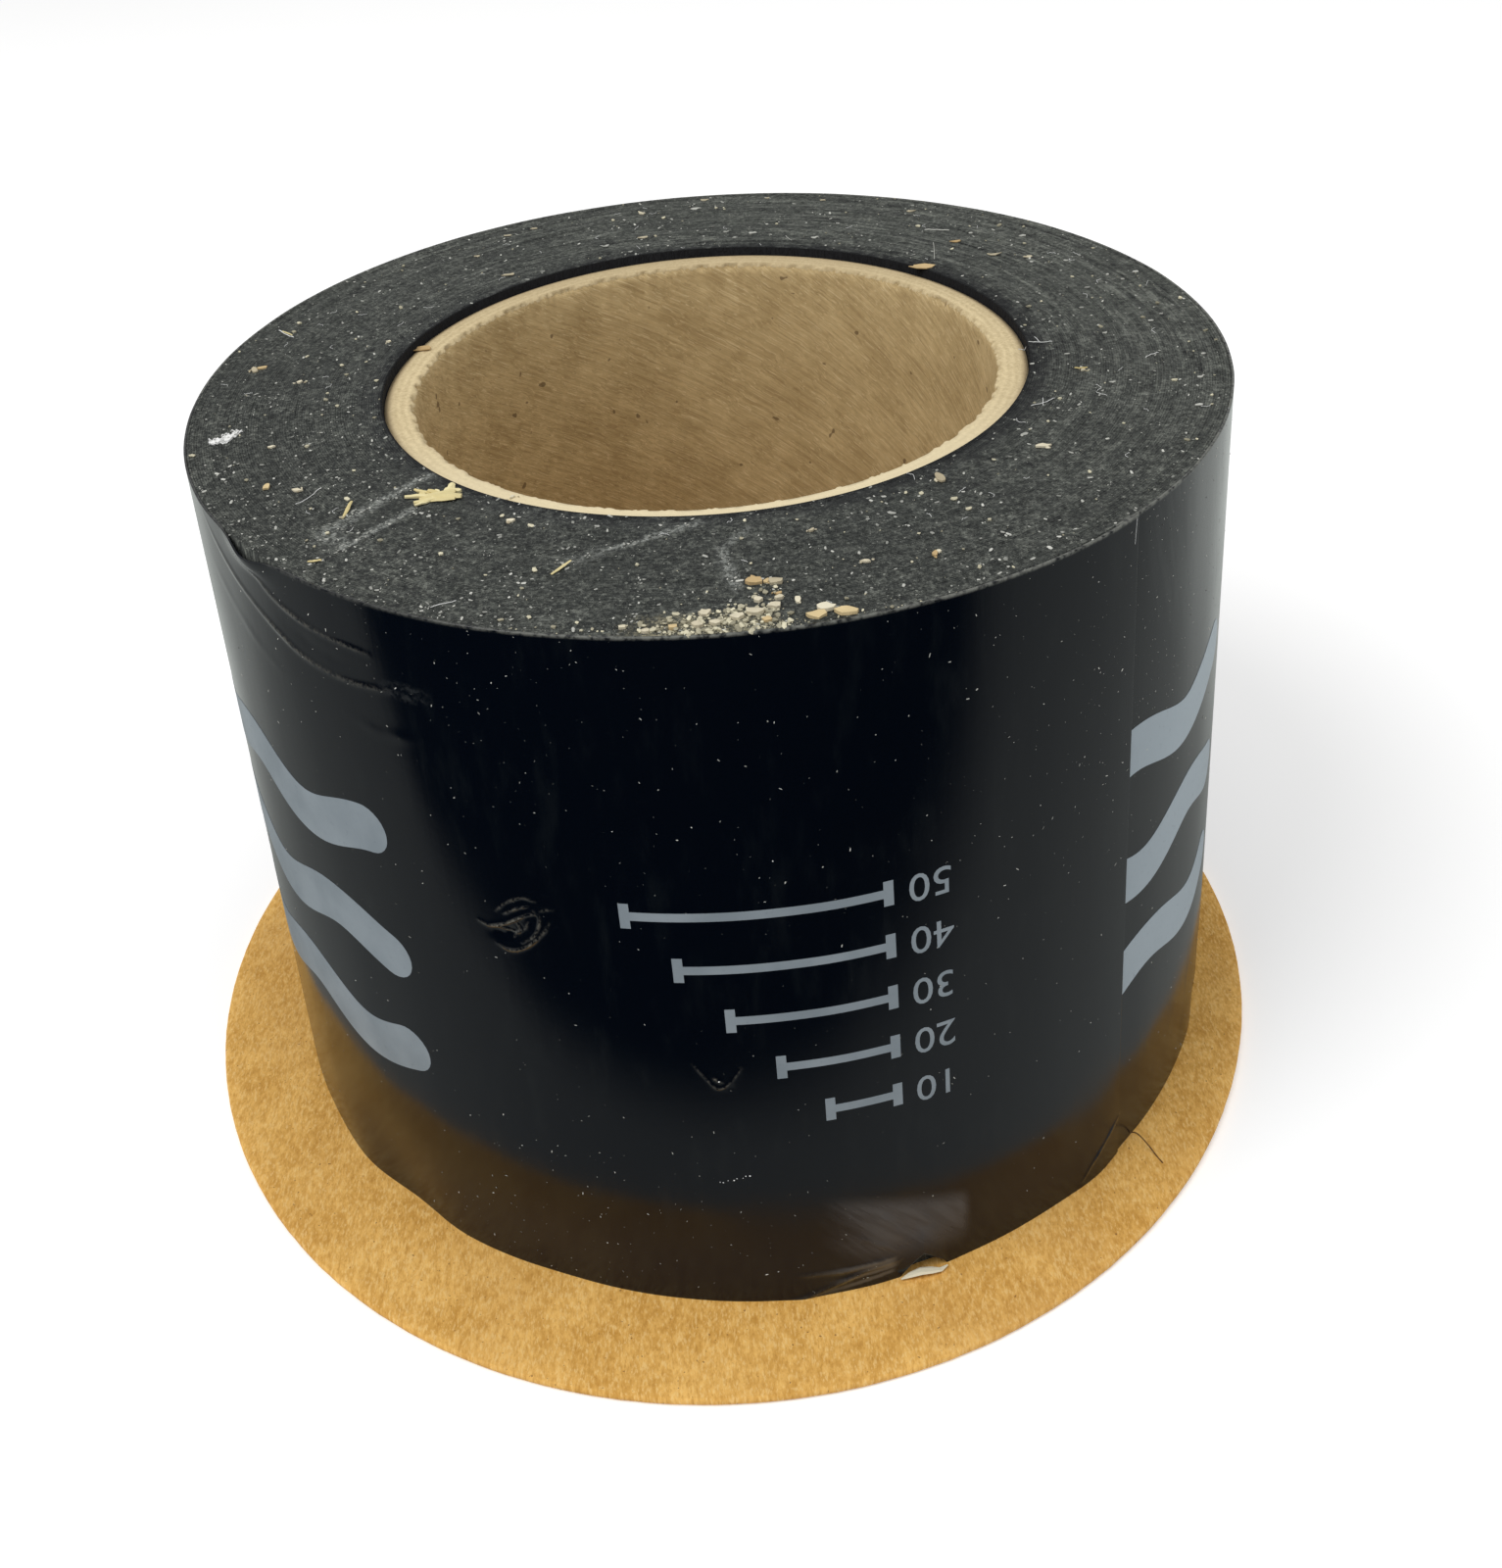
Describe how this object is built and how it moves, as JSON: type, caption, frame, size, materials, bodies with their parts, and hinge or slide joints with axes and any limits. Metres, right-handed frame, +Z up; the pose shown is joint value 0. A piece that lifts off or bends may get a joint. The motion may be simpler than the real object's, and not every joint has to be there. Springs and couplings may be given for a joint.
{
  "type": "roll of flashing tape",
  "caption": "Roll of black self-adhesive flashing tape wound on a paperboard core tube, standing on end on its kraft separator disc.",
  "frame": {"origin": "on the roll's axis at the underside of the separator disc", "axes": "+Z up along the core's bore; -Y towards the side that faces the picture's camera"},
  "size_m": [0.151, 0.151, 0.0962],
  "materials": {
    "tape_film": "glossy black polyolefin film outside, matt charcoal adhesive edges on the ends",
    "core_board": "spiral-wound brown paperboard with paler cut ends",
    "kraft_board": "matt mottled kraft board"
  },
  "bodies": {
    "root": {"wound_tape": "tape_film", "core": "core_board", "separator_disc": "kraft_board"}
  },
  "joints": []
}
